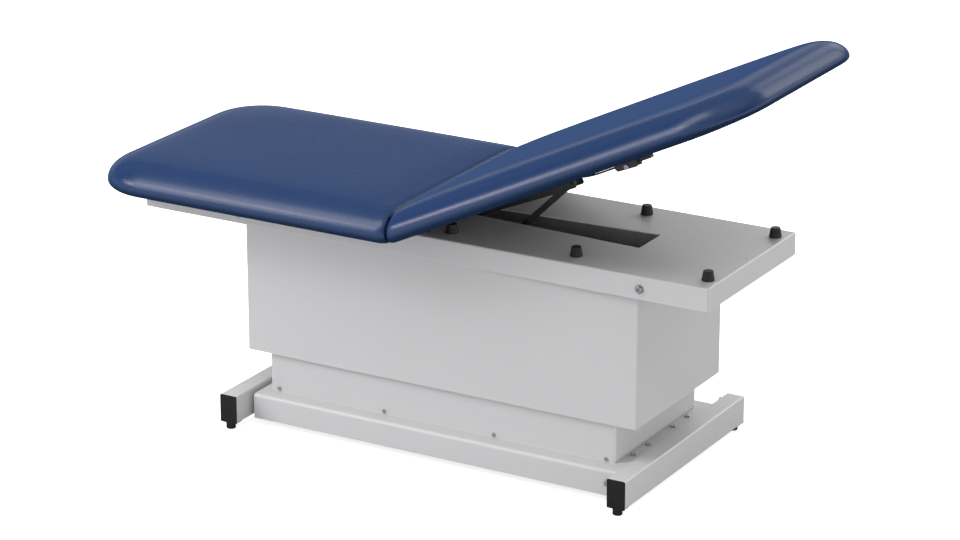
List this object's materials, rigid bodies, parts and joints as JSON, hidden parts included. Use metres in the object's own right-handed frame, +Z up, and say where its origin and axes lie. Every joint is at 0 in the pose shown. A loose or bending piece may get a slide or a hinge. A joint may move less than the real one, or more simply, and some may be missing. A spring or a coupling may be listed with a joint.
{
  "type": "medical exam table",
  "caption": "Powered treatment table: telescoping pedestal on a low base, sheet-metal deck, fixed leg cushion and a tilting backrest cushion held by a telescoping prop.",
  "frame": {"origin": "on the floor under the middle of the table's overall length and width at rest", "axes": "+X towards the head end, +Z up, -Y the near long side; rest pose has the backrest raised 25.7 degrees and the lift at its drawn height"},
  "size_m": [1.7276, 0.692, 1.0226],
  "materials": {
    "vinyl_blue": "smooth satin upholstery vinyl",
    "powder_coat_white": "light warm grey-white powder coat",
    "cap_plastic": "moulded black",
    "bumper_rubber": "matte black",
    "zinc_steel": "zinc plated",
    "black_steel": "satin black",
    "frame_steel": "dark grey primer",
    "column_steel": "drawn steel tube",
    "glide_plastic": "natural acetal",
    "motor_can": "dark grey enamel",
    "machined_steel": "ground",
    "pulley_alloy": "machined",
    "nut_bronze": "machined bronze",
    "control_plastic": "moulded grey",
    "cable_black": "black sheath",
    "plywood": "birch ply"
  },
  "bodies": {
    "base": {"base_pan": "powder_coat_white", "foot_bar_head": "powder_coat_white", "foot_bar_foot": "powder_coat_white", "foot_cap_foot_near": "cap_plastic", "foot_cap_foot_far": "cap_plastic", "foot_cap_head_near": "cap_plastic", "foot_cap_head_far": "cap_plastic", "base_rails": "frame_steel", "pan_bolts": "zinc_steel", "bar_hex_bolts": "zinc_steel", "lower_skirt": "powder_coat_white", "skirt_screws": "zinc_steel", "column_foot_plates": "frame_steel", "column_outer_foot": "column_steel", "column_outer_head": "column_steel", "column_glide_pads": "glide_plastic", "lift_motor_foot": "motor_can", "lift_motor_head": "motor_can", "screw_bearings": "machined_steel", "drive_belts": "bumper_rubber", "control_box": "control_plastic", "motor_cables": "cable_black"},
    "lifting_top": {"deck": "powder_coat_white", "upper_skirt": "powder_coat_white", "deck_rails": "frame_steel", "column_inner_foot": "column_steel", "column_inner_head": "column_steel", "column_top_plates": "frame_steel", "screw_nuts": "nut_bronze", "rubber_bumpers": "bumper_rubber", "bumper_screws": "zinc_steel", "deck_side_screws": "zinc_steel", "leg_spacer_frame": "frame_steel", "leg_board": "plywood", "leg_cushion": "vinyl_blue", "leg_board_bolts": "zinc_steel", "hinge_brackets": "black_steel", "hinge_pins": "zinc_steel", "hinge_bolts": "zinc_steel", "prop_hanger": "black_steel", "prop_lower_pin": "zinc_steel"},
    "backrest": {"backrest_board": "plywood", "backrest_cushion": "vinyl_blue", "hinge_leaves": "black_steel", "backrest_channel": "black_steel", "prop_upper_pin": "black_steel", "release_bracket": "black_steel", "release_bolt": "zinc_steel", "release_cable": "cable_black"},
    "screw_foot": {"lead_screw_foot": "machined_steel", "screw_pulley_foot": "pulley_alloy"},
    "screw_head": {"lead_screw_head": "machined_steel", "screw_pulley_head": "pulley_alloy"},
    "motor_foot": {"motor_pulley_foot": "pulley_alloy"},
    "motor_head": {"motor_pulley_head": "pulley_alloy"},
    "prop_bar_body": {"prop_bar": "black_steel"},
    "prop_sleeve_body": {"prop_sleeve": "black_steel"},
    "lever": {"release_lever": "black_steel"}
  },
  "joints": [
    {"name": "table_lift", "type": "slide", "parent": "base", "child": "lifting_top", "axis": [0, 0, 1], "range_m": [-0.085, 0.15]},
    {"name": "backrest_tilt", "type": "hinge", "parent": "lifting_top", "child": "backrest", "pos_m": [-0.0142, 0, 0.5623], "axis": [0, -1, 0], "range_deg": [-25.7, 44.3]},
    {"name": "prop_sleeve_swing", "type": "hinge", "parent": "lifting_top", "child": "prop_sleeve_body", "pos_m": [-0.07508, 0, 0.31124], "axis": [0, -1, 0], "range_deg": [-14.89, 25.31]},
    {"name": "prop_bar_swing", "type": "hinge", "parent": "backrest", "child": "prop_bar_body", "pos_m": [0.28398, 0, 0.65919], "axis": [0, -1, 0], "range_deg": [-19.99, 11.81]},
    {"name": "release_lever_pull", "type": "hinge", "parent": "backrest", "child": "lever", "pos_m": [0.57648, -0.289, 0.82438], "axis": [0, -1, 0], "range_deg": [-12, 0]},
    {"name": "screw_spin_foot", "type": "hinge", "parent": "base", "child": "screw_foot", "pos_m": [-0.3393, 0, 0.2], "axis": [0, 0, 1], "range_deg": [-1540, 2710]},
    {"name": "motor_spin_foot", "type": "hinge", "parent": "base", "child": "motor_foot", "pos_m": [-0.2393, 0, 0.05], "axis": [0, 0, 1], "range_deg": [-1540, 2710]},
    {"name": "screw_spin_head", "type": "hinge", "parent": "base", "child": "screw_head", "pos_m": [0.4207, 0, 0.2], "axis": [0, 0, 1], "range_deg": [-1540, 2710]},
    {"name": "motor_spin_head", "type": "hinge", "parent": "base", "child": "motor_head", "pos_m": [0.3207, 0, 0.05], "axis": [0, 0, 1], "range_deg": [-1540, 2710]}
  ],
  "couplings": [
    {"joint": "prop_sleeve_swing", "follows": "backrest_tilt", "ratio": 0.56006},
    {"joint": "prop_bar_swing", "follows": "backrest_tilt", "ratio": -0.43994},
    {"joint": "screw_spin_foot", "follows": "table_lift", "rad_per_m": 314.16},
    {"joint": "motor_spin_foot", "follows": "table_lift", "rad_per_m": 314.16},
    {"joint": "screw_spin_head", "follows": "table_lift", "rad_per_m": 314.16},
    {"joint": "motor_spin_head", "follows": "table_lift", "rad_per_m": 314.16}
  ]
}
